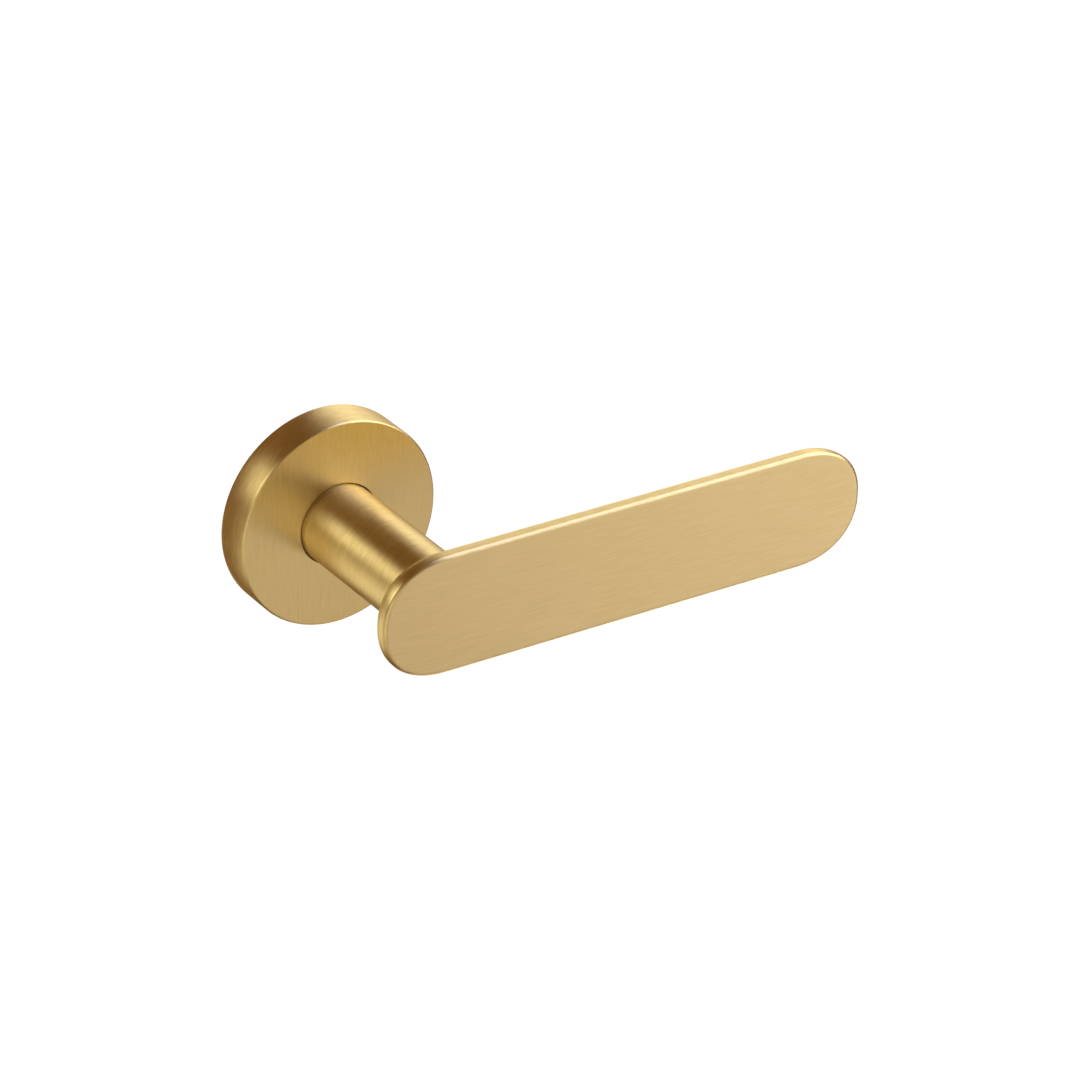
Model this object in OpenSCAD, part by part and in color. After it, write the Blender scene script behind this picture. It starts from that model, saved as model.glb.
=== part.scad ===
// Sprung door lever on a round rose.
// Origin on the spindle axis at the door face, +X along the lever, +Y into the door, +Z up.
// Every sub-part is drawn on a bench: X right, Y up, Z away from the door. on_door() turns it upright.

/* [Rose] */
// Outside diameter of the rose cover
rose_d = 52; // [52:0.5:56]
// Distance from the door face to the front of the rose
rose_t = 9.5; // [9.5:0.5:12]
// Radius of the rose cover's outer edge
rose_edge_r = 0.6; // [0.3:0.1:1]

/* [Lever] */
// Diameter of the round neck
neck_d = 20; // [20:0.5:22]
// Distance from the door face to the front of the grip
projection = 58; // [52:1:70]
// Length of the grip from tip to tip
grip_l = 132; // [115:1:150]
// Height of the grip
grip_h = 30; // [29:1:34]
// Thickness of the grip
grip_t = 5.8; // [5.6:0.2:8]
// Reach of the grip past the spindle axis on its short side
grip_tail = 18.4; // [17:0.2:21]
// Edge radius round the front of the grip
front_edge_r = 0.8; // [0.4:0.1:1.4]
// Edge radius round the back of the grip
back_edge_r = 4; // [3:0.1:4]
// Radius of the blend between the neck and the grip
neck_blend_r = 3; // [2:0.5:4]

/* [Turning] */
// Angle that the lever turns down
turn_deg = 50; // [35:5:55]
// Wire diameter of the return spring
spring_wire = 1.4; // [1.2:0.1:1.4]
// Number of turns in the return spring
spring_turns = 2.25; // [1.25:1:2.25]

/* [Fixing] */
// Distance between the centres of the two fixing holes
fixing_centres = 38; // [38:0.5:39]
// Diameter of the fixing holes
fixing_d = 4.5; // [4:0.1:4.5]
// Width across the flats of the square spindle
spindle_af = 8; // [7:0.5:8]
// Reach of the spindle behind the door face
spindle_out = 20; // [15:1:60]

/* [Hidden] */
$fn = 96;
eps = 0.01;

// Running fit of a shaft in a bearing, and play of a loose seat
running = 0.05;
play = 0.05;

// Colours
brass = [0.78, 0.62, 0.36];
zinc_alloy = [0.62, 0.63, 0.65];
steel = [0.7, 0.71, 0.73];
dark_steel = [0.25, 0.25, 0.27];
black_nylon = [0.1, 0.1, 0.11];
white_acetal = [0.9, 0.89, 0.85];

// Rose cover
cover_r = rose_d / 2;
cover_wall = 1.2;
cover_front = 1.5;
cover_inner_r = cover_r - cover_wall;
cover_inner_z = rose_t - cover_front;
neck_r = neck_d / 2;
neck_gap = 0.2;

// Groove round the neck that draws a thin shadow line in front of the rose
shadow_groove_r = neck_r - 0.5;
shadow_groove_low = rose_t - 0.3;
shadow_groove_high = rose_t + 0.7;

// Nylon ring that centres the cover on the neck, and the recess that it is pressed into
guide_t = 0.85;
guide_w = 2.4;
guide_fit = 0.08;
guide_r = neck_r + guide_w;

// Base plate and the steel plate that closes it from behind
back_t = 1;
base_r = cover_inner_r - 0.08;
base_front_z = cover_inner_z - 0.4;
front_wall = 1.5;
pocket_r = 14.4;
pocket_z = base_front_z - front_wall;
back_r = base_r - 0.5;
back_hole_r = 11;

// Spring wire ring that the cover snaps over
snap_wire = 1.2;
snap_r = cover_inner_r - 0.2 - snap_wire / 2;
snap_z = 4.1;
snap_gap_deg = 24;
snap_groove_h = snap_wire + 0.2;
cover_groove = 0.25;

// Journal of the lever and its flanged bush
journal_r = 7.5;
journal_end_z = 0.4;
bush_wall = 1.05;
bush_r = journal_r + running + bush_wall;
flange_t = 0.8;
flange_r = 9.3;
shoulder_z = base_front_z + flange_t;

// Parts threaded on the journal behind the base plate's front wall
thrust_t = 0.4;
thrust_r = 9.4;
thrust_z = pocket_z - running - thrust_t;
hub_r = 11.6;
hub_z = 2.35;
hub_h = thrust_z - running - hub_z;
flat_af = 12.4;
clip_z = 0.7;
clip_t = 1;
clip_seat_r = 7.15;
clip_r = 9.3;
cone_t = 0.35;
cone_r = 9.9;

// Pin that runs in an arc slot and stops the lever at both ends of its travel
pin_r = 0.9;
pin_circle_r = 10.5;
pin_deg = 90;
pin_z = 3;
pin_play_deg = 0.3;
pin_stop_deg = asin(pin_r / pin_circle_r) + pin_play_deg;
slot_half_w = pin_r + running;

// Torsion spring: the fixed leg sits in the base plate, the moving leg in the hub
coil_r = 13.2;
coil_pitch = spring_wire + 0.1;
fixed_leg_deg = 315;
fixed_leg_z = back_t + 0.2 + spring_wire / 2;
moving_leg_z = fixed_leg_z + coil_pitch * spring_turns;
moving_leg_deg = fixed_leg_deg - 360 * spring_turns;
fixed_leg_r = 16.4;
moving_leg_r = 10.2;
leg_bend_r = 1.2;
leg_slot_w = spring_wire + 0.4;
spring_sides = 10;
steps_per_turn = 32;

// Grub screw in the underside of the neck
grub_r = 3;
grub_z = 21;
grub_key_af = 3;

// Spindle and its socket
spindle_depth = 30;
socket_af = spindle_af + 2 * play;

// Fixing holes and the four screws of the back plate
fixing_r = fixing_d / 2;
fixing_head_r = 4.2;
fixing_head_depth = 2.6;
screw_circle_r = 19.5;
screw_angles = [30, 150, 210, 330];
screw_r = 1.25;
screw_head_r = 2.3;
screw_l = 5;

// Grip outline: two half discs joined by a straight bar
grip_r = grip_h / 2;
grip_front_z = projection;
grip_back_z = projection - grip_t;
tail_x = grip_r - grip_tail;
tip_x = grip_l - grip_tail - grip_r;

// Turns a sub-part from the bench onto the door
module on_door() {
  rotate([90, 0, 0])
    children();
}

// Flat ring between two heights
module ring(inner_r, outer_r, low, high) {
  translate([0, 0, low])
    difference() {
      cylinder(r = outer_r, h = high - low);
      translate([0, 0, -eps])
        cylinder(r = inner_r, h = high - low + 2 * eps);
    }
}

// Upright round bar or hole between two heights
module bar(r, low, high) {
  translate([0, 0, low])
    cylinder(r = r, h = high - low);
}

// Upright square bar between two heights
module square_bar(af, low, high) {
  translate([-af / 2, -af / 2, low])
    cube([af, af, high - low]);
}

// Round bar with two flats, one above and one below the axis
module flatted_bar(r, af, low, high) {
  intersection() {
    bar(r, low, high);
    translate([-r - 1, -af / 2, low])
      cube([2 * r + 2, af, high - low]);
  }
}

// Half of the grip's cross-section: flat front and back with rounded edges
module grip_half_section() {
  side_low = grip_back_z + back_edge_r;
  side_high = grip_front_z - front_edge_r;
  translate([0, grip_back_z])
    square([grip_r - back_edge_r, grip_t]);
  translate([0, side_low])
    square([grip_r - front_edge_r, grip_front_z - side_low]);
  translate([0, side_low])
    square([grip_r, side_high - side_low]);
  translate([grip_r - back_edge_r, side_low])
    circle(r = back_edge_r);
  translate([grip_r - front_edge_r, side_high])
    circle(r = front_edge_r);
}

// Clipped to the positive side, so that it can be turned about its edge
module grip_half_section_clipped() {
  intersection() {
    grip_half_section();
    translate([0, grip_back_z])
      square([grip_r, grip_t]);
  }
}

// Half disc at one end of the grip
module grip_end(x, start_deg) {
  translate([x, 0, 0])
    rotate([0, 0, start_deg])
      rotate_extrude(angle = 180)
        grip_half_section_clipped();
}

module grip() {
  grip_end(tail_x, 90);
  grip_end(tip_x, 270);
  translate([tail_x, 0, 0])
    rotate([90, 0, 90])
      linear_extrude(height = tip_x - tail_x) {
        grip_half_section_clipped();
        mirror([1, 0])
          grip_half_section_clipped();
      }
}

// Concave blend that widens the neck until it meets the grip's rounded back edge
module neck_blend() {
  side_low = grip_back_z + back_edge_r;
  edge_x = grip_r - back_edge_r;
  centre_x = neck_r + neck_blend_r;
  reach = back_edge_r + neck_blend_r;
  rise = sqrt(reach * reach - (centre_x - edge_x) * (centre_x - edge_x));
  low = side_low - rise;
  high = low + rise * neck_blend_r / reach;
  rotate_extrude()
    difference() {
      translate([0, low])
        square([centre_x, high - low]);
      translate([centre_x, low])
        circle(r = neck_blend_r);
    }
}

module lever_handle() {
  color(brass)
    on_door()
      difference() {
        union() {
          grip();
          neck_blend();
          bar(neck_r, shoulder_z, grip_back_z + 1);
          bar(journal_r, thrust_z, shoulder_z + 1);
          flatted_bar(journal_r, flat_af, journal_end_z, thrust_z + eps);
        }
        square_bar(socket_af, -1, spindle_depth);
        ring(clip_seat_r, journal_r + 1, clip_z, clip_z + clip_t);
        ring(shadow_groove_r, neck_r + 1, shadow_groove_low, shadow_groove_high);
        translate([0, 0, grub_z])
          rotate([90, 0, 0])
            bar(grub_r, 0, neck_r + 1);
      }
}

module grub_screw() {
  tip = spindle_af / 2;
  head = neck_r - 0.6;
  color(dark_steel)
    on_door()
      translate([0, 0, grub_z])
        rotate([90, 0, 0])
          difference() {
            union() {
              bar(grub_r - play, tip + 0.6, head - 0.3);
              translate([0, 0, tip])
                cylinder(r1 = grub_r - 0.8, r2 = grub_r - play, h = 0.6);
              translate([0, 0, head - 0.3])
                cylinder(r1 = grub_r - play, r2 = grub_r - 0.35, h = 0.3);
            }
            translate([0, 0, head - 2.4])
              cylinder(d = grub_key_af / cos(30), h = 3, $fn = 6);
          }
}

module spindle() {
  corner_r = spindle_af * sqrt(2) / 2;
  nose = 1.2;
  low = -spindle_out;
  high = spindle_depth - 0.5;
  color(steel)
    on_door()
      intersection() {
        square_bar(spindle_af, low, high);
        union() {
          translate([0, 0, low])
            cylinder(r1 = corner_r - nose, r2 = corner_r, h = nose);
          bar(corner_r, low + nose, high - nose);
          translate([0, 0, high - nose])
            cylinder(r1 = corner_r, r2 = corner_r - nose, h = nose);
        }
      }
}

module rose_cover() {
  color(brass)
    on_door()
      difference() {
        union() {
          bar(cover_r, 0, rose_t - rose_edge_r);
          bar(cover_r - rose_edge_r, 0, rose_t);
          translate([0, 0, rose_t - rose_edge_r])
            rotate_extrude()
              translate([cover_r - rose_edge_r, 0])
                circle(r = rose_edge_r);
        }
        bar(cover_inner_r, -1, cover_inner_z);
        bar(neck_r + neck_gap, cover_inner_z - 1, rose_t + 1);
        bar(guide_r, cover_inner_z - 1, cover_inner_z + guide_t + play);
        bar(cover_inner_r + cover_groove, snap_z - snap_groove_h / 2, snap_z + snap_groove_h / 2);
      }
}

module guide_ring() {
  color(black_nylon)
    on_door()
      ring(neck_r + guide_fit, guide_r - eps, cover_inner_z + play, cover_inner_z + guide_t);
}

module snap_ring() {
  color(steel)
    on_door()
      rotate([0, 0, 270 + snap_gap_deg / 2])
        rotate_extrude(angle = 360 - snap_gap_deg)
          translate([snap_r, snap_z])
            circle(r = snap_wire / 2);
}

// Places its child at each fixing hole, above and below the spindle
module at_fixings() {
  for (side = [-1, 1])
    translate([0, side * fixing_centres / 2, 0])
      children();
}

// Places its child at each screw of the back plate
module at_back_screws() {
  for (a = screw_angles)
    rotate([0, 0, a])
      translate([screw_circle_r, 0, 0])
        children();
}

// Arc slot that the stop pin runs in
module pin_slot(low, high) {
  rotate([0, 0, pin_deg - turn_deg - pin_stop_deg])
    rotate_extrude(angle = turn_deg + 2 * pin_stop_deg)
      translate([pin_circle_r - slot_half_w, low])
        square([2 * slot_half_w, high - low]);
}

module base_plate() {
  groove_low = snap_z - snap_groove_h / 2;
  groove_high = snap_z + snap_groove_h / 2;
  color(zinc_alloy)
    on_door()
      difference() {
        bar(base_r, back_t, base_front_z);
        bar(pocket_r, 0, pocket_z);
        bar(bush_r, 0, base_front_z + 1);
        pin_slot(pocket_z - 1, base_front_z + 1);
        ring(snap_r - snap_wire / 2 - 0.1, base_r + 1, groove_low, groove_high);
        at_fixings()
          bar(fixing_r, 0, base_front_z + 1);
        at_fixings()
          bar(fixing_head_r, base_front_z - fixing_head_depth, base_front_z + 1);
        at_back_screws()
          bar(screw_r, 0, screw_l + 0.5);
        rotate([0, 0, fixed_leg_deg])
          translate([coil_r, -leg_slot_w / 2, 0])
            cube([fixed_leg_r - coil_r + 0.5, leg_slot_w, fixed_leg_z + leg_slot_w / 2]);
      }
}

module back_plate() {
  color(steel)
    on_door()
      difference() {
        ring(back_hole_r, back_r, 0, back_t);
        at_fixings()
          bar(fixing_r, -1, back_t + 1);
        at_back_screws() {
          bar(screw_r + play, -1, back_t + 1);
          translate([0, 0, -eps])
            cylinder(r1 = screw_head_r + play, r2 = screw_r + play, h = back_t);
        }
      }
}

module back_plate_screws() {
  recess_l = 2.6;
  recess_w = 0.6;
  color(steel)
    on_door()
      at_back_screws()
        difference() {
          union() {
            cylinder(r1 = screw_head_r, r2 = screw_r - 0.03, h = back_t);
            bar(screw_r - 0.03, 0, screw_l);
          }
          for (a = [45, 135])
            rotate([0, 0, a])
              translate([-recess_l / 2, -recess_w / 2, -eps])
                cube([recess_l, recess_w, 0.7]);
        }
}

module bearing_bush() {
  color(white_acetal)
    on_door()
      difference() {
        union() {
          bar(bush_r, pocket_z, shoulder_z);
          bar(flange_r, base_front_z, shoulder_z);
        }
        bar(journal_r + running, pocket_z - 1, shoulder_z + 1);
      }
}

module thrust_washer() {
  color(black_nylon)
    on_door()
      ring(journal_r + running, thrust_r, thrust_z, thrust_z + thrust_t);
}

// Steel hub with two flats in its bore, a hole for the stop pin and a slot for the moving spring leg
module drive_hub() {
  color(dark_steel)
    on_door()
      difference() {
        bar(hub_r, hub_z, hub_z + hub_h);
        flatted_bar(journal_r + play, flat_af + 2 * play, hub_z - 1, hub_z + hub_h + 1);
        rotate([0, 0, pin_deg])
          translate([pin_circle_r, 0, 0])
            bar(pin_r, pin_z, hub_z + hub_h + 1);
        rotate([0, 0, moving_leg_deg])
          translate([moving_leg_r - 0.4, -leg_slot_w / 2, moving_leg_z - leg_slot_w / 2])
            cube([hub_r, leg_slot_w, hub_h]);
      }
}

module stop_pin() {
  color(steel)
    on_door()
      rotate([0, 0, pin_deg])
        translate([pin_circle_r, 0, 0])
          bar(pin_r, pin_z, base_front_z - 0.3);
}

// Points of the spring's centre line: fixed leg, bend, coil, bend, moving leg
function polar(r, a, z) = [r * cos(a), r * sin(a), z];
function coil_point(t) =
  polar(coil_r, fixed_leg_deg - 360 * t, fixed_leg_z + coil_pitch * t);
function bend_deg() = leg_bend_r / coil_r * 180 / PI;
coil_steps = round(spring_turns * steps_per_turn);
spring_path = concat(
  [
    polar(fixed_leg_r, fixed_leg_deg, fixed_leg_z),
    polar(coil_r + leg_bend_r, fixed_leg_deg, fixed_leg_z),
    polar(coil_r + 0.35 * leg_bend_r, fixed_leg_deg - 0.3 * bend_deg(), fixed_leg_z)
  ],
  [for (i = [1 : coil_steps - 1]) coil_point(i * spring_turns / coil_steps)],
  [
    polar(coil_r - 0.35 * leg_bend_r, moving_leg_deg + 0.3 * bend_deg(), moving_leg_z),
    polar(coil_r - leg_bend_r, moving_leg_deg, moving_leg_z),
    polar(moving_leg_r, moving_leg_deg, moving_leg_z)
  ]
);

// Ring of points square to the path at point i; the path always runs nearly level
function unit(v) = v / norm(v);
function path_way(path, i) =
  unit(path[min(i + 1, len(path) - 1)] - path[max(i - 1, 0)]);
function path_ring(path, i, r, sides) =
  let (way = path_way(path, i), side = unit(cross(way, [0, 0, 1])), up = cross(side, way))
  [for (k = [0 : sides - 1]) path[i] + r * (cos(360 * k / sides) * side + sin(360 * k / sides) * up)];

// Round wire along a path
module wire(path, r, sides) {
  last = len(path) - 1;
  points = [for (i = [0 : last]) each path_ring(path, i, r, sides)];
  walls = [
    for (i = [0 : last - 1], k = [0 : sides - 1])
      let (a = i * sides + k, b = i * sides + (k + 1) % sides)
      each [[a, a + sides, b], [b, a + sides, b + sides]]
  ];
  caps = [
    [for (k = [0 : sides - 1]) k],
    [for (k = [sides - 1 : -1 : 0]) last * sides + k]
  ];
  polyhedron(points = points, faces = concat(walls, caps));
}

module return_spring() {
  color(steel)
    on_door()
      wire(spring_path, spring_wire / 2, spring_sides);
}

// Coned washer that takes up the end play
module spring_washer() {
  low = clip_z + clip_t + 0.02;
  high = hub_z - 0.02;
  color(steel)
    on_door()
      rotate_extrude()
        polygon([
          [journal_r + 0.1, low],
          [journal_r + 0.1, low + cone_t],
          [cone_r, high],
          [cone_r, high - cone_t]
        ]);
}

// Retaining ring in the journal's groove, with two eyes at its gap
module circlip() {
  eye_r = 1.4;
  eye_hole_r = 0.7;
  eye_circle_r = 9;
  eye_deg = 14;
  gap_w = 2.2;
  color(dark_steel)
    on_door()
      translate([0, 0, clip_z + 0.02])
        linear_extrude(height = clip_t - 0.04)
          difference() {
            union() {
              circle(r = clip_r);
              for (side = [-1, 1])
                rotate(270 + side * eye_deg)
                  translate([eye_circle_r, 0])
                    circle(r = eye_r);
            }
            circle(r = clip_seat_r + 0.02);
            translate([-gap_w / 2, -clip_r - 2 * eye_r])
              square([gap_w, clip_r + 2 * eye_r]);
            for (side = [-1, 1])
              rotate(270 + side * eye_deg)
                translate([eye_circle_r, 0])
                  circle(r = eye_hole_r);
          }
}

lever_handle();
grub_screw();
spindle();
rose_cover();
guide_ring();
snap_ring();
base_plate();
back_plate();
back_plate_screws();
bearing_bush();
thrust_washer();
drive_hub();
stop_pin();
return_spring();
spring_washer();
circlip();
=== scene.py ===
import math

import bmesh
import bpy
import numpy as np
from mathutils import Matrix, Vector


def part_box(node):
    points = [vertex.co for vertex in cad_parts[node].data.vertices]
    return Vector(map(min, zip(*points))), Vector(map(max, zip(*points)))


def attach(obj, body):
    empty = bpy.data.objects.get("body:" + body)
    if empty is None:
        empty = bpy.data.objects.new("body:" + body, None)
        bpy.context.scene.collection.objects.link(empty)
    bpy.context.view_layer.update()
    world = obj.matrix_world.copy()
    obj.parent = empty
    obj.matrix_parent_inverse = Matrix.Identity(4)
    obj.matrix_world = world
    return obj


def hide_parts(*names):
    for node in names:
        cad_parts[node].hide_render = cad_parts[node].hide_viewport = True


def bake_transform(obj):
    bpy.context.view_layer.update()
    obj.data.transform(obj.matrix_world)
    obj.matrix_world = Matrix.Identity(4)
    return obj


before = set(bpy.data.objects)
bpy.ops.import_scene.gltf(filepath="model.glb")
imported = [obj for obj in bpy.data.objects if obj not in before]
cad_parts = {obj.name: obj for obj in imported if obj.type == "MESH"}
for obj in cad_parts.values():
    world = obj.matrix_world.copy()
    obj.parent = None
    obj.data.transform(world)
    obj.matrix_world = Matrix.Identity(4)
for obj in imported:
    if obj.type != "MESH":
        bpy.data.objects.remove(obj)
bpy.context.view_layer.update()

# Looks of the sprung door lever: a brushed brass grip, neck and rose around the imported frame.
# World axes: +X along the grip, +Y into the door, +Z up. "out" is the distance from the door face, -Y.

MM = 0.001
LEVER_LOW, LEVER_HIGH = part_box("lever_handle")
COVER_LOW, COVER_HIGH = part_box("rose_cover")
SPRING_LOW, SPRING_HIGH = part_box("return_spring")
X_AXIS, Y_AXIS, Z_AXIS = (1, 0, 0), (0, 1, 0), (0, 0, 1)

# Camera, as the photographer stood: angles in degrees, lens and sensor in mm
CAMERA_AZIMUTH = -34.98
CAMERA_ELEVATION = 28.57
CAMERA_ROLL = 2.52
CAMERA_DISTANCE = 1.1713
CAMERA_TARGET = Vector((42.3, -30.0, -6.0)) * MM
CAMERA_LENS = 167.9
CAMERA_SENSOR = 36.0
CAMERA_CLIP = 20

# White floor and background
FLOOR_Z = -0.16
FLOOR_HALF = 3.0
PAPER_WHITE = (1, 1, 1, 1)
PAPER_GLOW = 1.05

# Softboxes: azimuth from +Y towards +X, elevation, radius, soft edge, strength and tint. Angles in degrees.
WHITE = (1.0, 1.0, 1.0)
WARM = (1.0, 0.98, 0.78)
COOL = (0.8, 1.0, 2.2)
SOFTBOXES = [
    (130, 11, 18, 10, 3.6, WHITE),
    (87, 49, 16, 18, 2.7, WHITE),
    (43, 18, 17, 15, 1.25, WARM),
    (140, -22, 13, 12, 0.95, WHITE),
    (133, 48, 12, 10, 1.5, COOL),
    (-60, 26, 16, 10, 1.6, WARM),
    (-82, 30, 16, 10, 1.7, WARM),
    (-160, -16, 30, 18, 0.85, WARM),
    (-85, -30, 30, 24, 0.45, WARM),
    (-35, -32, 16, 12, 1.0, WARM),
    (-48, -9, 14, 12, 0.6, WARM),
    (20, -19, 18, 10, 1.7, WARM),
    (71, -57, 21, 13, 1.3, WARM),
]
ROOM_LIGHT = (0.17, 0.08, 0.018)

# Dark crescent behind the rose's left side, out of the camera's sight
FLAG_INNER = 26.4 * MM
FLAG_WIDTH = 9.5 * MM
FLAG_DEGREES = (92, 255)
FLAG_BEHIND = 0.5 * MM
FLAG_STEPS = 48
FLAG_CLOTH = (0.08, 0.05, 0.03, 1)

# Grip: a flat plate with rounded ends. An end's outline is a superellipse of this length and power.
FRONT = -LEVER_LOW.y
GRIP_HALF = LEVER_HIGH.z
GRIP_T = 5.8 * MM
GRIP_BACK = FRONT - GRIP_T
FRONT_EDGE_R = 0.8 * MM
BACK_EDGE_R = 4.2 * MM
END_LENGTH = 17.4 * MM
END_POWER = 2.23
DUAL_POWER = END_POWER / (END_POWER - 1)
TAIL_X = LEVER_LOW.x + END_LENGTH
TIP_X = LEVER_HIGH.x - END_LENGTH

# Mesh of the grip: it is split across at NECK_SPAN, and its back is filled inside RIM_INSET
NECK_SPAN = 16.0 * MM
RIM_INSET = 2.4 * MM
FRONT_STRIP = 0.4 * MM
NEAR_STEPS = 28
FAR_STEPS = 56
END_STEPS = 96
FRONT_RUNG_STEPS = 24
TANGENTS = 1440

# Neck and journal
NECK_R = 10.0 * MM
BLEND_R = 3.0 * MM
BLEND_TRIALS = 241
GROOVE_R = 9.5 * MM
GROOVE_LOW = 9.2 * MM
GROOVE_HIGH = 10.2 * MM
GROOVE_EDGE_R = 0.25 * MM
SHOULDER = 8.4 * MM
JOURNAL_R = 7.5 * MM
FLAT_HALF = 6.2 * MM
FLAT_TOP = 5.6 * MM
CLIP_R = 7.15 * MM
CLIP_LOW = 0.7 * MM
CLIP_HIGH = 1.7 * MM
JOURNAL_END = -LEVER_HIGH.y
SOCKET_HALF = 4.05 * MM
SOCKET_DEPTH = 30.0 * MM

# Grub screw hole in the underside of the neck, in the middle of a square patch
GRUB_OUT = 21.0 * MM
GRUB_R = 3.0 * MM
GRUB_EDGE = 0.25 * MM
GRUB_FLOOR = 4.3 * MM
GRUB_PATCH = 4.6 * MM
PATCH_STEPS = 8

# Rows of points round the neck, above and below that patch
NECK_ROWS_ABOVE = [out * MM for out in (47, 43, 39, 35, 31, 27)]
NECK_ROWS_BELOW = [14 * MM, 12 * MM, GROOVE_HIGH + GROOVE_EDGE_R + 0.2 * MM]

# Rose cover
ROSE_R = COVER_HIGH.x
ROSE_FRONT = -COVER_LOW.y
ROSE_EDGE_R = 0.45 * MM
ROSE_BACK_EDGE_R = 0.2 * MM
ROSE_HOLE_R = 10.3 * MM
ROSE_HOLE_EDGE_R = 0.15 * MM
ROSE_INNER_R = 24.8 * MM
ROSE_INNER_FRONT = 8.0 * MM
ROSE_SNAP_R = 25.05 * MM
ROSE_SNAP_LOW = 3.4 * MM
ROSE_SNAP_HIGH = 4.8 * MM
ROSE_SEAT_R = 12.4 * MM
ROSE_SEAT_FRONT = 8.9 * MM
ROSE_SIDES = 240
ROSE_FACE_MARGIN = 0.2 * MM
ROSE_SIDE_MARGIN = 0.3 * MM
ROSE_SIDE_LOW = 0.6 * MM

# Return spring
WIRE_R = 0.7 * MM
COIL_R = 13.2 * MM
COIL_TURNS = 2.25
FIXED_LEG_R = 16.4 * MM
MOVING_LEG_R = 10.2 * MM
FIXED_LEG_DEG = 315.0
LEG_BEND_R = 1.2 * MM
BEND_STEPS = 8
WIRE_SIDES = 16
WIRE_CHAMFER = 0.12 * MM
STEPS_PER_TURN = 90

# Meshes: points closer than WELD are joined, and edges sharper than SHARP_DEG stay sharp
WELD = 1e-7
SHARP_DEG = 40.0


# ---------------------------------------------------------------- mesh building

class Shell:
    """Points and faces of one closed mesh. A point is given as x, z and its distance out of the door."""

    def __init__(self):
        self.points = []
        self.faces = []
        self.slots = []

    def add(self, x, z, out):
        """Adds points and returns their numbers."""
        x, z, out = np.broadcast_arrays(*(np.atleast_1d(np.asarray(v, float)) for v in (x, z, out)))
        first = len(self.points)
        self.points.extend(zip(x.tolist(), (-out).tolist(), z.tolist()))
        return list(range(first, first + len(x)))

    def face(self, corners, slot):
        self.faces.append(tuple(corners))
        self.slots.append(slot)

    def strip(self, a, b, slot, closed=True):
        """Quads between two rows of equal length. Returns the second row."""
        count = len(a)
        for i in range(count if closed else count - 1):
            j = (i + 1) % count
            self.face((a[i], a[j], b[j], b[i]), slot)
        return b

    def build(self, name, materials):
        """Welds the points, turns every face outwards and returns the object."""
        mesh = bpy.data.meshes.new(name)
        mesh.from_pydata(self.points, [], self.faces)
        mesh.polygons.foreach_set("material_index", self.slots)
        work = bmesh.new()
        work.from_mesh(mesh)
        bmesh.ops.remove_doubles(work, verts=work.verts, dist=WELD)
        bmesh.ops.recalc_face_normals(work, faces=work.faces)
        work.to_mesh(mesh)
        work.free()
        for material in materials:
            mesh.materials.append(material)
        mesh.shade_smooth()
        mesh.set_sharp_from_angle(angle=math.radians(SHARP_DEG))
        piece = bpy.data.objects.new(name, mesh)
        bpy.context.scene.collection.objects.link(piece)
        return piece


def arc(cx, cy, r, start_deg, end_deg, steps):
    """Points of an arc in a section, both ends included."""
    return [
        (cx + r * math.cos(math.radians(a)), cy + r * math.sin(math.radians(a)))
        for a in np.linspace(start_deg, end_deg, steps + 1)
    ]


# ---------------------------------------------------------------- grip

def end_support(angle):
    """Distance from an end's centre to its tangent line, for a normal at this angle."""
    c = np.abs(np.cos(angle)) * END_LENGTH
    s = np.abs(np.sin(angle)) * GRIP_HALF
    return (c ** DUAL_POWER + s ** DUAL_POWER) ** (1 / DUAL_POWER)


def end_point(angle):
    """Point of an end's rounded outline, from its centre, where the normal has this angle."""
    c = END_LENGTH * np.cos(angle)
    s = GRIP_HALF * np.sin(angle)
    size = end_support(angle) ** (DUAL_POWER - 1)
    x = END_LENGTH * np.sign(c) * np.abs(c) ** (DUAL_POWER - 1) / size
    z = GRIP_HALF * np.sign(s) * np.abs(s) ** (DUAL_POWER - 1) / size
    return x, z


def inset_of(x, z):
    """Distance from points inside the outline to the outline."""
    angle = np.linspace(0, 2 * math.pi, TANGENTS + 1)[:-1]
    nx, nz = np.cos(angle), np.sin(angle)
    reach = end_support(angle) + np.where(nx > 0, TIP_X, TAIL_X) * nx
    x, z = np.atleast_1d(x), np.atleast_1d(z)
    return (reach[None, :] - x[:, None] * nx - z[:, None] * nz).min(axis=1)


def front_out(x, z):
    """Distance out of the door of the grip's flat front."""
    return np.full(len(x), FRONT)


def back_out(x, z):
    """Distance out of the door of the grip's back surface."""
    deep = np.clip(BACK_EDGE_R - inset_of(x, z), 0, BACK_EDGE_R)
    return GRIP_BACK + BACK_EDGE_R - np.sqrt(BACK_EDGE_R ** 2 - deep ** 2)


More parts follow.
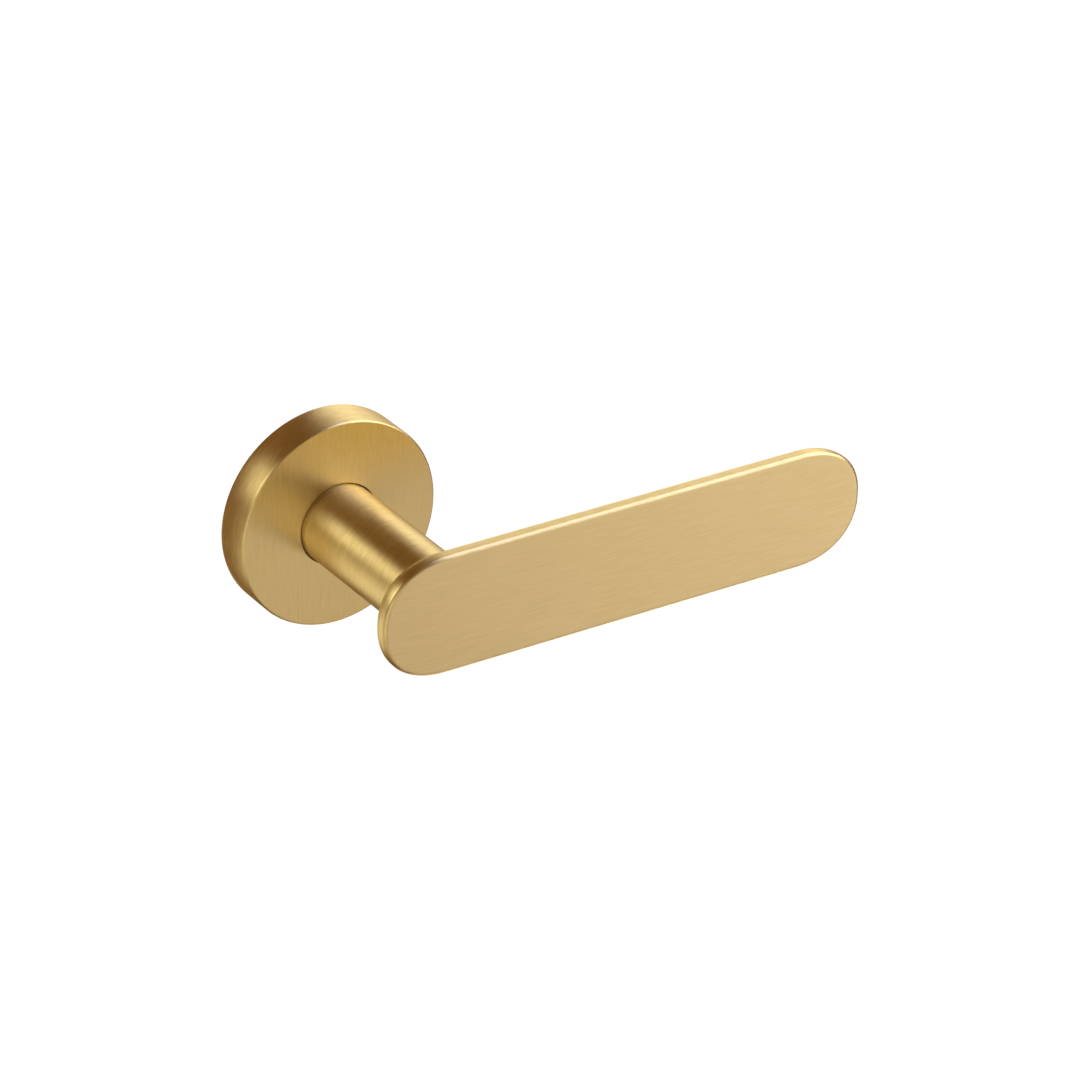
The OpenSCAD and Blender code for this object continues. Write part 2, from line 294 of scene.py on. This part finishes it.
def grip_outline():
    """Points and normals round the grip, from above the neck's far side, over the tail and back."""
    near = np.linspace(NECK_SPAN, TAIL_X, NEAR_STEPS + 1)[:-1]
    far = np.linspace(NECK_SPAN, TIP_X, FAR_STEPS + 1)
    tail = np.radians(np.linspace(90, 270, END_STEPS + 1))
    tip = np.radians(np.linspace(270, 450, END_STEPS + 1))
    tail_x, tail_z = end_point(tail)
    tip_x, tip_z = end_point(tip)
    low, high = np.full(NEAR_STEPS, -GRIP_HALF), np.full(NEAR_STEPS, GRIP_HALF)
    straight_low = np.full(FAR_STEPS, -GRIP_HALF)
    straight_high = np.full(FAR_STEPS - 1, GRIP_HALF)
    x = np.concatenate([near, tail_x + TAIL_X, near[::-1], far[1:], (tip_x + TIP_X)[1:], far[::-1][1:-1]])
    z = np.concatenate([high, tail_z, low, straight_low, tip_z[1:], straight_high])
    up, down = math.pi / 2, 3 * math.pi / 2
    angle = np.concatenate([
        np.full(NEAR_STEPS, up), tail, np.full(NEAR_STEPS, down),
        np.full(FAR_STEPS, down), tip[1:], np.full(FAR_STEPS - 1, up),
    ])
    return x, z, np.cos(angle), np.sin(angle)


def ladder(shell, low, high, tail, tip, rows, out_of, slot):
    """Fills an outline with rungs between its lower and upper points. rows says where a rung's points lie,
    from 0 to 1, and out_of how far out of the door. tail and tip are a single point or a whole rung."""
    rungs = [tail]
    for a, b in zip(low, high):
        ax, _, az = shell.points[a]
        bz = shell.points[b][2]
        z = az + (bz - az) * rows[1:-1]
        x = np.full(len(z), ax)
        rungs.append([a] + shell.add(x, z, out_of(x, z)) + [b])
    rungs.append(tip)
    for a, b in zip(rungs[:-1], rungs[1:]):
        if len(a) == 1:
            for i in range(len(rows) - 1):
                shell.face((a[0], b[i], b[i + 1]), slot)
        elif len(b) == 1:
            for i in range(len(rows) - 1):
                shell.face((b[0], a[i + 1], a[i]), slot)
        else:
            shell.strip(a, b, slot, closed=False)


GRIP_SLOT, TURNED_SLOT, EDGE_SLOT = 0, 1, 2


def add_skin(shell):
    """The grip's edge, from the flat front over the side to the back rounding. Returns its two end rings."""
    x, z, nx, nz = grip_outline()
    side_low = GRIP_BACK + BACK_EDGE_R
    rim_deg = math.degrees(math.acos(1 - RIM_INSET / BACK_EDGE_R))
    profile = [(FRONT_EDGE_R + FRONT_STRIP, FRONT)]
    profile += [(FRONT_EDGE_R - c, FRONT - FRONT_EDGE_R + s)
                for c, s in arc(0, 0, FRONT_EDGE_R, 90, 0, 8)]
    profile += [(0, (FRONT - FRONT_EDGE_R + side_low) / 2)]
    profile += [(BACK_EDGE_R - c, side_low - s) for c, s in arc(0, 0, BACK_EDGE_R, 0, rim_deg, 16)]
    rings = [shell.add(x - inset * nx, z - inset * nz, out) for inset, out in profile]
    for i, (a, b) in enumerate(zip(rings[:-1], rings[1:])):
        shell.strip(a, b, GRIP_SLOT if i == 0 else EDGE_SLOT)
    return rings[0], rings[-1]


def add_front(shell, ring):
    """The grip's flat front, inside the first ring of its skin."""
    count = len(ring)
    half = count // 2
    tail = NEAR_STEPS + END_STEPS // 2
    low = [ring[(tail + i) % count] for i in range(1, half)]
    high = [ring[(tail - i) % count] for i in range(1, half)]
    rows = np.linspace(0, 1, FRONT_RUNG_STEPS + 1)
    ladder(shell, low, high, [ring[tail]], [ring[(tail + half) % count]], rows, front_out, GRIP_SLOT)


def add_far_back(shell, rim):
    """The grip's back beyond the neck. Returns the border of the part that is still open round the neck."""
    flat_share = (BACK_EDGE_R - RIM_INSET) / (GRIP_HALF - RIM_INSET) / 2
    rows = np.concatenate([
        np.linspace(0, flat_share, 6)[:-1], np.linspace(flat_share, 1 - flat_share, 21),
        np.linspace(1 - flat_share, 1, 6)[1:],
    ])
    count = len(rim)
    near = 2 * NEAR_STEPS + END_STEPS
    far = (count - near) // 2
    z = -GRIP_HALF + RIM_INSET + 2 * (GRIP_HALF - RIM_INSET) * rows[1:-1]
    x = np.full(len(z), NECK_SPAN)
    across = shell.add(x, z, back_out(x, z))
    low = [rim[near + i] for i in range(1, far)]
    high = [rim[-i % count] for i in range(1, far)]
    ladder(shell, low, high, [rim[near]] + across + [rim[0]], [rim[(near + far) % count]], rows, back_out,
           GRIP_SLOT)
    return rim[:near + 1] + across


# ---------------------------------------------------------------- neck and journal

def blend_start(c, s):
    """Where the neck's rounding meets the grip's back in each direction: its radius there, and how far out
    the rounding begins on the neck."""
    r = np.linspace(NECK_R, NECK_R + BLEND_R, BLEND_TRIALS)
    surface = back_out((r * c[:, None]).ravel(), (r * s[:, None]).ravel()).reshape(len(c), -1)
    start = surface - np.sqrt(np.maximum(BLEND_R ** 2 - (NECK_R + BLEND_R - r) ** 2, 0))
    return r[start.argmin(axis=1)], start.min(axis=1)


def add_near_back(shell, border):
    """The grip's back from the border in to the neck, with the neck's rounding. Returns the last row and the
    angle of each of its points round the neck."""
    x = np.array([shell.points[i][0] for i in border])
    z = np.array([shell.points[i][2] for i in border])
    theta = np.arctan2(z, x)
    reach = np.hypot(x, z)
    c, s = np.cos(theta), np.sin(theta)
    touch_r, blend_low = blend_start(c, s)
    row = border
    for t in np.linspace(1, 0, 13)[1:]:
        r = touch_r + (reach - touch_r) * t
        row = shell.strip(row, shell.add(r * c, r * s, back_out(r * c, r * s)), GRIP_SLOT)
    touch_angle = np.arccos(np.clip((NECK_R + BLEND_R - touch_r) / BLEND_R, -1, 1))
    for t in np.linspace(1, 0, 15)[1:]:
        a = touch_angle * t
        r = NECK_R + BLEND_R - BLEND_R * np.cos(a)
        row = shell.strip(row, shell.add(r * c, r * s, blend_low + BLEND_R * np.sin(a)), TURNED_SLOT)
    return row, theta


def add_neck(shell, previous, theta):
    """Round neck down to its shadow groove, with the grub screw's hole let into one patch of it."""
    c, s = np.cos(theta), np.sin(theta)
    patch = [j for j in range(len(theta)) if s[j] < 0 and abs(NECK_R * c[j]) < GRUB_PATCH]
    patch_outs = list(np.linspace(GRUB_OUT + GRUB_PATCH, GRUB_OUT - GRUB_PATCH, PATCH_STEPS + 1))
    panel = []
    for out in NECK_ROWS_ABOVE + patch_outs + NECK_ROWS_BELOW:
        row = shell.add(NECK_R * c, NECK_R * s, out)
        opened = out in patch_outs[1:]
        for j in range(len(theta)):
            k = (j + 1) % len(theta)
            if not (opened and j in patch and k in patch):
                shell.face((previous[j], previous[k], row[k], row[j]), TURNED_SLOT)
        if out in patch_outs:
            panel.append([row[j] for j in patch])
        previous = row
    add_grub_hole(shell, panel)
    return previous


def add_grub_hole(shell, panel):
    """Fills the neck's open patch with a countersunk round hole."""
    top, bottom = panel[0], panel[-1]
    right = [row[-1] for row in panel[:-1]]
    left = [row[0] for row in panel[:0:-1]]
    border = top[:-1] + right + bottom[:0:-1] + left
    x = np.array([shell.points[i][0] for i in border])
    out = np.array([-shell.points[i][1] for i in border])
    angle = np.arctan2(out - GRUB_OUT, x)
    edge_x = (GRUB_R + GRUB_EDGE) * np.cos(angle)
    edge_out = GRUB_OUT + (GRUB_R + GRUB_EDGE) * np.sin(angle)
    row = border
    for t in (0.35, 0.65, 0.85, 1.0):
        row_x = x + (edge_x - x) * t
        row_z = -np.sqrt(NECK_R ** 2 - row_x ** 2)
        row = shell.strip(row, shell.add(row_x, row_z, out + (edge_out - out) * t), TURNED_SLOT)
    hole_x, hole_out = GRUB_R * np.cos(angle), GRUB_OUT + GRUB_R * np.sin(angle)
    for z in (GRUB_EDGE - np.sqrt(NECK_R ** 2 - hole_x ** 2), -GRUB_FLOOR):
        row = shell.strip(row, shell.add(hole_x, z, hole_out), TURNED_SLOT)
    shell.face(row, TURNED_SLOT)


def add_journal(shell, row, theta):
    """Shadow groove, shoulder, flatted journal with the clip's groove, and the spindle's square socket."""
    c, s = np.cos(theta), np.sin(theta)
    groove = arc(NECK_R - GROOVE_EDGE_R, GROOVE_HIGH + GROOVE_EDGE_R, GROOVE_EDGE_R, 0, -90, 5)
    groove += [(GROOVE_R, GROOVE_HIGH), (GROOVE_R, GROOVE_LOW), (NECK_R, GROOVE_LOW), (NECK_R, SHOULDER)]
    for r, out in groove:
        row = shell.strip(row, shell.add(r * c, r * s, out), TURNED_SLOT)

    # The nearest points move to the corners of the flats and of the socket
    flat_deg = math.degrees(math.asin(FLAT_HALF / JOURNAL_R))
    corners = [flat_deg, 180 - flat_deg, 180 + flat_deg, 360 - flat_deg, 45, 135, 225, 315]
    turned = theta.copy()
    for corner in np.radians(corners):
        gap = np.abs(np.angle(np.exp(1j * (theta - corner))))
        turned[gap.argmin()] = corner
    c, s = np.cos(turned), np.sin(turned)
    square = SOCKET_HALF / np.maximum(np.abs(c), np.abs(s))
    sections = [
        (JOURNAL_R, SHOULDER, JOURNAL_R), (JOURNAL_R, FLAT_TOP, JOURNAL_R), (JOURNAL_R, FLAT_TOP, FLAT_HALF),
        (JOURNAL_R, CLIP_HIGH, FLAT_HALF), (CLIP_R, CLIP_HIGH, FLAT_HALF), (CLIP_R, CLIP_LOW, FLAT_HALF),
        (JOURNAL_R, CLIP_LOW, FLAT_HALF), (JOURNAL_R, JOURNAL_END, FLAT_HALF),
        (square, JOURNAL_END, SOCKET_HALF), (square, SOCKET_DEPTH, SOCKET_HALF),
    ]
    for r, out, half_height in sections:
        z = np.clip(r * s, -half_height, half_height)
        row = shell.strip(row, shell.add(r * c, z, out), TURNED_SLOT)
    shell.face(row, TURNED_SLOT)


def make_lever(materials):
    """Grip, neck and journal as one closed mesh, with one material for each of its three slots."""
    shell = Shell()
    front_ring, rim = add_skin(shell)
    add_front(shell, front_ring)
    border = add_far_back(shell, rim)
    row, theta = add_near_back(shell, border)
    row = add_neck(shell, row, theta)
    add_journal(shell, row, theta)
    return shell.build("lever", materials)


# ---------------------------------------------------------------- rose cover

def make_cover(materials):
    """Turned cover. Its first slot is the flat front, and the second is everything turned."""
    shell = Shell()
    angle = np.linspace(0, 2 * math.pi, ROSE_SIDES + 1)[:-1]
    c, s = np.cos(angle), np.sin(angle)
    face_low = ROSE_HOLE_R + ROSE_HOLE_EDGE_R
    face_high = ROSE_R - ROSE_EDGE_R
    side_high = ROSE_FRONT - ROSE_EDGE_R
    hole_edge = arc(face_low, ROSE_FRONT - ROSE_HOLE_EDGE_R, ROSE_HOLE_EDGE_R, 180, 90, 4)
    front_edge = arc(face_high, side_high, ROSE_EDGE_R, 90, 0, 8)
    back_edge = arc(ROSE_R - ROSE_BACK_EDGE_R, ROSE_BACK_EDGE_R, ROSE_BACK_EDGE_R, 0, -90, 4)
    face_rs = np.linspace(face_low + ROSE_FACE_MARGIN, face_high - ROSE_FACE_MARGIN, 12)
    face = [(r, ROSE_FRONT) for r in face_rs]
    side = [(ROSE_R, out) for out in np.linspace(side_high - ROSE_SIDE_MARGIN, ROSE_SIDE_LOW, 6)]
    inside = [
        (ROSE_INNER_R, 0), (ROSE_INNER_R, ROSE_SNAP_LOW), (ROSE_SNAP_R, ROSE_SNAP_LOW),
        (ROSE_SNAP_R, ROSE_SNAP_HIGH), (ROSE_INNER_R, ROSE_SNAP_HIGH), (ROSE_INNER_R, ROSE_INNER_FRONT),
        (ROSE_SEAT_R, ROSE_INNER_FRONT), (ROSE_SEAT_R, ROSE_SEAT_FRONT), (ROSE_HOLE_R, ROSE_SEAT_FRONT),
    ]
    profile = hole_edge + face + front_edge + side + back_edge + inside
    face_rows = range(len(hole_edge) - 1, len(hole_edge) + len(face))
    rows = [shell.add(r * c, r * s, out) for r, out in profile]
    for i, row in enumerate(rows):
        shell.strip(row, rows[(i + 1) % len(rows)], 0 if i in face_rows else 1)
    return shell.build("rose_cover_brass", materials)


# ---------------------------------------------------------------- return spring

def polar(r, angle):
    return np.array([r * math.cos(angle), r * math.sin(angle)])


def bend(centre, start, end):
    """Points of a wire's bend from start to end about its centre."""
    a, b = start - centre, end - centre
    turn = math.atan2(a[0] * b[1] - a[1] * b[0], a @ b)
    points = []
    for t in np.linspace(0, 1, BEND_STEPS + 1):
        c, s = math.cos(turn * t), math.sin(turn * t)
        points.append(centre + np.array([c * a[0] - s * a[1], s * a[0] + c * a[1]]))
    return points


def spring_path():
    """Centre line from the fixed leg's end to the moving leg's end, as x, z and out."""
    low = -SPRING_HIGH.y + WIRE_R
    high = -SPRING_LOW.y - WIRE_R
    first = math.radians(FIXED_LEG_DEG)
    last = first - 2 * math.pi * COIL_TURNS
    outer_r, inner_r = COIL_R + LEG_BEND_R, COIL_R - LEG_BEND_R
    coil_first = first - math.asin(LEG_BEND_R / outer_r)
    coil_last = last + math.asin(LEG_BEND_R / inner_r)
    flat = [polar(FIXED_LEG_R, first)]
    flat += bend(polar(outer_r, coil_first), polar(math.sqrt(outer_r ** 2 - LEG_BEND_R ** 2), first),
                 polar(COIL_R, coil_first))
    flat += [polar(COIL_R, a)
             for a in np.linspace(coil_first, coil_last, int(STEPS_PER_TURN * COIL_TURNS))[1:-1]]
    flat += bend(polar(inner_r, coil_last), polar(COIL_R, coil_last),
                 polar(math.sqrt(inner_r ** 2 - LEG_BEND_R ** 2), last))
    flat.append(polar(MOVING_LEG_R, last))
    flat = np.array(flat)
    travelled = np.concatenate([[0], np.hypot(*np.diff(flat, axis=0).T).cumsum()])
    out = low + (high - low) * travelled / travelled[-1]
    return np.column_stack([flat, out])


def make_spring(material):
    """Round wire along the spring's path, with chamfered ends."""
    path = spring_path()
    way = np.gradient(path, axis=0)
    way /= np.linalg.norm(way, axis=1)[:, None]
    side = np.cross(way, (0, 0, 1))
    side /= np.linalg.norm(side, axis=1)[:, None]
    up = np.cross(side, way)
    turn = np.linspace(0, 2 * math.pi, WIRE_SIDES + 1)[:-1]
    stations = [(0, WIRE_R - WIRE_CHAMFER, 0.0), (0, WIRE_R, WIRE_CHAMFER)]
    stations += [(i, WIRE_R, 0.0) for i in range(1, len(path) - 1)]
    stations += [(-1, WIRE_R, -WIRE_CHAMFER), (-1, WIRE_R - WIRE_CHAMFER, 0.0)]
    shell = Shell()
    rows = []
    for i, r, shift in stations:
        around = np.outer(np.cos(turn), side[i]) + np.outer(np.sin(turn), up[i])
        rows.append(shell.add(*(path[i] + way[i] * shift + r * around).T))
    for a, b in zip(rows[:-1], rows[1:]):
        shell.strip(a, b, 0)
    shell.face(rows[0], 0)
    shell.face(rows[-1], 0)
    return shell.build("spring_wire", [material])


# ---------------------------------------------------------------- materials

# Spans of a noise's values that a texture makes use of
FINE_SPAN = (0.25, 0.75)
CLOUD_SPAN = (0.3, 0.7)
SPECKLE_SPAN = (0.55, 0.75)


def new_material(name):
    material = bpy.data.materials.new(name)
    material.use_nodes = True
    return material, material.node_tree.nodes, material.node_tree.links


def stretched_noise(nodes, links, scale, detail=3.0, roughness=0.6, distortion=0.0):
    """Noise in object coordinates, with its own scale along X, Y and Z in cells per metre."""
    where = nodes.new("ShaderNodeTexCoord")
    stretch = nodes.new("ShaderNodeMapping")
    stretch.inputs["Scale"].default_value = scale
    noise = nodes.new("ShaderNodeTexNoise")
    noise.inputs["Scale"].default_value = 1.0
    noise.inputs["Detail"].default_value = detail
    noise.inputs["Roughness"].default_value = roughness
    noise.inputs["Distortion"].default_value = distortion
    links.new(where.outputs["Object"], stretch.inputs["Vector"])
    links.new(stretch.outputs["Vector"], noise.inputs["Vector"])
    return noise.outputs["Fac"]


def remap(nodes, links, value, span, new_span):
    """Maps a value from one (low, high) span to another."""
    node = nodes.new("ShaderNodeMapRange")
    node.inputs["From Min"].default_value, node.inputs["From Max"].default_value = span
    node.inputs["To Min"].default_value, node.inputs["To Max"].default_value = new_span
    links.new(value, node.inputs["Value"])
    return node.outputs["Result"]


def mix_colour(nodes, links, factor, a, b):
    """Mixes two colours, each a tuple or another node's output."""
    node = nodes.new("ShaderNodeMix")
    node.data_type = "RGBA"
    links.new(factor, node.inputs["Factor"])
    for colour, socket in ((a, "A"), (b, "B")):
        target = [i for i in node.inputs if i.name == socket and i.type == "RGBA"][0]
        if isinstance(colour, tuple):
            target.default_value = (*colour, 1)
        else:
            links.new(colour, target)
    return [o for o in node.outputs if o.type == "RGBA"][0]


def add_bump(nodes, links, height, strength, distance):
    bump = nodes.new("ShaderNodeBump")
    bump.inputs["Strength"].default_value = strength
    bump.inputs["Distance"].default_value = distance
    links.new(height, bump.inputs["Height"])
    links.new(bump.outputs["Normal"], nodes["Principled BSDF"].inputs["Normal"])


def smear_along(nodes, links, axis):
    """Smears an anisotropic material's reflections along one of the object's own axes."""
    turn = nodes.new("ShaderNodeVectorTransform")
    turn.vector_type = "VECTOR"
    turn.convert_from = "OBJECT"
    turn.convert_to = "WORLD"
    turn.inputs["Vector"].default_value = axis
    links.new(turn.outputs["Vector"], nodes["Principled BSDF"].inputs["Tangent"])


BRASS_LIGHT = (0.85, 0.69, 0.36)
BRASS_DEEP = (0.745, 0.605, 0.29)
BRASS_ROUGHNESS = (0.31, 0.41)


def brushed_brass(name, grain, across, spread):
    """Satin brass with fine brush lines. grain is the noise scale along X, Y and Z.
    across is the direction square to the brush lines, in which reflections smear.
    spread is how far the grain's noise runs from its middle between the two tints."""
    material, nodes, links = new_material(name)
    shader = nodes["Principled BSDF"]
    shader.inputs["Metallic"].default_value = 1.0
    shader.inputs["Anisotropic"].default_value = 0.8
    fine = stretched_noise(nodes, links, grain, detail=4.0, roughness=0.75)
    cloud = stretched_noise(nodes, links, (35, 35, 35), detail=2.0)
    lines = remap(nodes, links, fine, (0.5 - spread, 0.5 + spread), (0.0, 1.0))
    tone = mix_colour(nodes, links, lines, BRASS_DEEP, BRASS_LIGHT)
    tone = mix_colour(nodes, links, remap(nodes, links, cloud, CLOUD_SPAN, (0.0, 0.35)), tone, BRASS_LIGHT)
    links.new(tone, shader.inputs["Base Color"])
    links.new(remap(nodes, links, fine, FINE_SPAN, BRASS_ROUGHNESS), shader.inputs["Roughness"])
    add_bump(nodes, links, fine, 0.35, 0.01 * MM)
    smear_along(nodes, links, across)
    return material


def plain_metal(name, dark, light, roughness, grain, bump_height, anisotropy=0.0, across=None, spots=None):
    """Bare or plated metal. roughness is a (low, high) pair and grain the noise scale along X, Y and Z."""
    material, nodes, links = new_material(name)
    shader = nodes["Principled BSDF"]
    shader.inputs["Metallic"].default_value = 1.0
    shader.inputs["Anisotropic"].default_value = anisotropy
    fine = stretched_noise(nodes, links, grain, detail=5.0)
    cloud = stretched_noise(nodes, links, (140, 140, 140), detail=3.0)
    tone = mix_colour(nodes, links, remap(nodes, links, cloud, CLOUD_SPAN, (0.0, 1.0)), dark, light)
    tone = mix_colour(nodes, links, remap(nodes, links, fine, CLOUD_SPAN, (0.0, 0.5)), tone, dark)
    if spots is not None:
        speckle = stretched_noise(nodes, links, (900, 900, 900), detail=2.0)
        tone = mix_colour(nodes, links, remap(nodes, links, speckle, SPECKLE_SPAN, (0.0, 0.6)), tone, spots)
    links.new(tone, shader.inputs["Base Color"])
    links.new(remap(nodes, links, fine, FINE_SPAN, roughness), shader.inputs["Roughness"])
    add_bump(nodes, links, fine, 0.5, bump_height)
    if across is not None:
        smear_along(nodes, links, across)
    return material


def moulded_plastic(name, dark, light, roughness):
    """Moulded plastic with a faint spark-eroded texture."""
    material, nodes, links = new_material(name)
    shader = nodes["Principled BSDF"]
    shader.inputs["Specular IOR Level"].default_value = 0.5
    texture = stretched_noise(nodes, links, (2600, 2600, 2600), detail=4.0)
    flow = stretched_noise(nodes, links, (180, 420, 180), detail=3.0, distortion=0.6)
    tone = mix_colour(nodes, links, remap(nodes, links, flow, CLOUD_SPAN, (0.0, 1.0)), dark, light)
    links.new(tone, shader.inputs["Base Color"])
    links.new(remap(nodes, links, texture, FINE_SPAN, roughness), shader.inputs["Roughness"])
    add_bump(nodes, links, texture, 0.4, 0.02 * MM)
    return material


def paint_node(name, material):
    """Gives a carried-over CAD node its material."""
    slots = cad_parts[name].data.materials
    slots.clear()
    slots.append(material)


# ---------------------------------------------------------------- stage

def make_floor():
    bpy.ops.mesh.primitive_plane_add(size=2 * FLOOR_HALF, location=(0, 0, FLOOR_Z))
    floor = bpy.context.object
    floor.name = "floor"
    material, nodes, links = new_material("pale_floor")
    glow = nodes.new("ShaderNodeEmission")
    glow.inputs["Color"].default_value = PAPER_WHITE
    glow.inputs["Strength"].default_value = PAPER_GLOW
    links.new(glow.outputs[0], nodes["Material Output"].inputs["Surface"])
    floor.data.materials.append(material)
    floor.visible_glossy = False
    floor.visible_shadow = False


def make_flag():
    """A crescent that keeps light off the back of the rose's left side. It glows like the dark room."""
    share = np.linspace(0, 1, FLAG_STEPS + 1)
    turn = np.radians(FLAG_DEGREES[0] + (FLAG_DEGREES[1] - FLAG_DEGREES[0]) * share)
    inner = np.full(len(turn), FLAG_INNER)
    outer = FLAG_INNER + FLAG_WIDTH * np.sin(math.pi * share)
    points = [(r * math.cos(a), FLAG_BEHIND, r * math.sin(a))
              for radii in (inner, outer) for r, a in zip(radii, turn)]
    count = len(turn)
    mesh = bpy.data.meshes.new("flag")
    mesh.from_pydata(points, [], [(i, i + 1, count + i + 1, count + i) for i in range(count - 1)])
    material, nodes, _ = new_material("flag_cloth")
    cloth = nodes["Principled BSDF"].inputs
    cloth["Base Color"].default_value = FLAG_CLOTH
    cloth["Roughness"].default_value = 1.0
    cloth["Emission Color"].default_value = (*ROOM_LIGHT, 1)
    cloth["Emission Strength"].default_value = 1.0
    mesh.materials.append(material)
    flag = bpy.data.objects.new("flag", mesh)
    flag.visible_camera = False
    bpy.context.scene.collection.objects.link(flag)


def make_camera():
    a, e, roll = (math.radians(v) for v in (CAMERA_AZIMUTH, CAMERA_ELEVATION, CAMERA_ROLL))
    back = Vector((math.sin(a) * math.cos(e), -math.cos(a) * math.cos(e), math.sin(e)))
    level_right = Vector((math.cos(a), math.sin(a), 0))
    level_up = back.cross(level_right)
    right = math.cos(roll) * level_right + math.sin(roll) * level_up
    up = back.cross(right)
    data = bpy.data.cameras.new("camera")
    data.lens = CAMERA_LENS
    data.sensor_width = CAMERA_SENSOR
    data.clip_end = CAMERA_CLIP
    camera = bpy.data.objects.new("camera", data)
    turned = Matrix((right, up, back)).transposed().to_4x4()
    camera.matrix_world = Matrix.Translation(CAMERA_TARGET + back * CAMERA_DISTANCE) @ turned
    bpy.context.scene.collection.objects.link(camera)
    bpy.context.scene.camera = camera


def softbox_glow(nodes, links, way, azimuth, elevation, radius, edge):
    """1 where a direction points into the softbox and 0 outside it, with a soft edge between."""
    a, e = math.radians(azimuth), math.radians(elevation)
    towards = nodes.new("ShaderNodeVectorMath")
    towards.operation = "DOT_PRODUCT"
    towards.inputs[1].default_value = (math.sin(a) * math.cos(e), math.cos(a) * math.cos(e), math.sin(e))
    links.new(way, towards.inputs[0])
    off_axis = nodes.new("ShaderNodeMath")
    off_axis.operation = "ARCCOSINE"
    links.new(towards.outputs["Value"], off_axis.inputs[0])
    window = nodes.new("ShaderNodeMapRange")
    window.interpolation_type = "SMOOTHSTEP"
    window.inputs["From Min"].default_value = math.radians(radius + edge)
    window.inputs["From Max"].default_value = math.radians(radius - edge)
    links.new(off_axis.outputs[0], window.inputs["Value"])
    return window.outputs["Result"]


def make_world():
    """A warm dark studio with round softboxes, and plain white where the camera looks past the object."""
    world = bpy.data.worlds.new("studio")
    bpy.context.scene.world = world
    world.use_nodes = True
    nodes, links = world.node_tree.nodes, world.node_tree.links
    way = nodes.new("ShaderNodeTexCoord").outputs["Generated"]
    total = None
    for azimuth, elevation, radius, edge, strength, tint in SOFTBOXES:
        lamp = nodes.new("ShaderNodeVectorMath")
        lamp.operation = "SCALE"
        lamp.inputs[0].default_value = tuple(strength * c for c in tint)
        links.new(softbox_glow(nodes, links, way, azimuth, elevation, radius, edge), lamp.inputs["Scale"])
        add = nodes.new("ShaderNodeVectorMath")
        add.operation = "ADD"
        add.inputs[1].default_value = ROOM_LIGHT
        links.new(lamp.outputs[0], add.inputs[0])
        if total is not None:
            links.new(total, add.inputs[1])
        total = add.outputs[0]
    room = nodes["Background"]
    links.new(total, room.inputs["Color"])

    backdrop = nodes.new("ShaderNodeBackground")
    backdrop.inputs["Color"].default_value = PAPER_WHITE
    backdrop.inputs["Strength"].default_value = PAPER_GLOW
    seen = nodes.new("ShaderNodeLightPath")
    choice = nodes.new("ShaderNodeMixShader")
    links.new(seen.outputs["Is Camera Ray"], choice.inputs[0])
    links.new(room.outputs[0], choice.inputs[1])
    links.new(backdrop.outputs[0], choice.inputs[2])
    links.new(choice.outputs[0], nodes["World Output"].inputs["Surface"])


# ---------------------------------------------------------------- assembly

make_camera()
make_world()
make_floor()
make_flag()
bpy.context.scene.view_settings.view_transform = "Standard"

# Brush lines, as noise scales along X, Y and Z
ALONG_GRIP = (110, 3600, 3600)
ROUND_AXIS = (260, 1500, 260)
UPRIGHT = (3200, 3200, 200)
grip_brass = brushed_brass("brass_grip", ALONG_GRIP, Z_AXIS, 0.17)
turned_brass = brushed_brass("brass_turned", ROUND_AXIS, Y_AXIS, 0.07)
face_brass = brushed_brass("brass_rose_face", UPRIGHT, X_AXIS, 0.13)

lever = make_lever([grip_brass, turned_brass, turned_brass])
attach(lever, "lever")
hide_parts("lever_handle")
cover = make_cover([face_brass, turned_brass])
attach(cover, "cover")
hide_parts("rose_cover")

spring_steel = plain_metal("spring_steel", dark=(0.36, 0.36, 0.37), light=(0.55, 0.55, 0.56),
                           roughness=(0.26, 0.4), grain=(900, 900, 900), bump_height=0.01 * MM)
spring = make_spring(spring_steel)
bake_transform(spring)
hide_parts("return_spring")

ZINC_SPOTS = (0.78, 0.74, 0.62)
zinc_plate = plain_metal("zinc_plate", dark=(0.55, 0.57, 0.6), light=(0.74, 0.75, 0.76),
                         roughness=(0.24, 0.38), grain=(300, 5000, 300), bump_height=0.01 * MM,
                         spots=ZINC_SPOTS)
drawn_bar = plain_metal("zinc_plated_bar", dark=(0.56, 0.58, 0.6), light=(0.75, 0.76, 0.76),
                        roughness=(0.25, 0.38), grain=(4200, 160, 4200), bump_height=0.012 * MM,
                        anisotropy=0.5, across=X_AXIS, spots=ZINC_SPOTS)
die_casting = plain_metal("die_cast_zinc", dark=(0.35, 0.37, 0.4), light=(0.48, 0.505, 0.54),
                          roughness=(0.42, 0.6), grain=(1500, 1500, 1500), bump_height=0.05 * MM)
black_oxide = plain_metal("black_oxide_steel", dark=(0.035, 0.035, 0.038), light=(0.075, 0.073, 0.07),
                          roughness=(0.3, 0.48), grain=(1800, 1800, 1800), bump_height=0.02 * MM,
                          spots=(0.13, 0.11, 0.09))
black_nylon = moulded_plastic("black_nylon", dark=(0.018, 0.018, 0.02), light=(0.03, 0.03, 0.032),
                              roughness=(0.42, 0.6))
white_acetal = moulded_plastic("white_acetal", dark=(0.74, 0.72, 0.67), light=(0.82, 0.81, 0.77),
                               roughness=(0.3, 0.45))
finishes = {
    "grub_screw": black_oxide, "drive_hub": black_oxide, "circlip": black_oxide,
    "spindle": drawn_bar, "back_plate": zinc_plate, "back_plate_screws": zinc_plate,
    "snap_ring": spring_steel, "stop_pin": spring_steel, "spring_washer": spring_steel,
    "base_plate": die_casting, "bearing_bush": white_acetal,
    "guide_ring": black_nylon, "thrust_washer": black_nylon,
}
for node_name, finish in finishes.items():
    paint_node(node_name, finish)
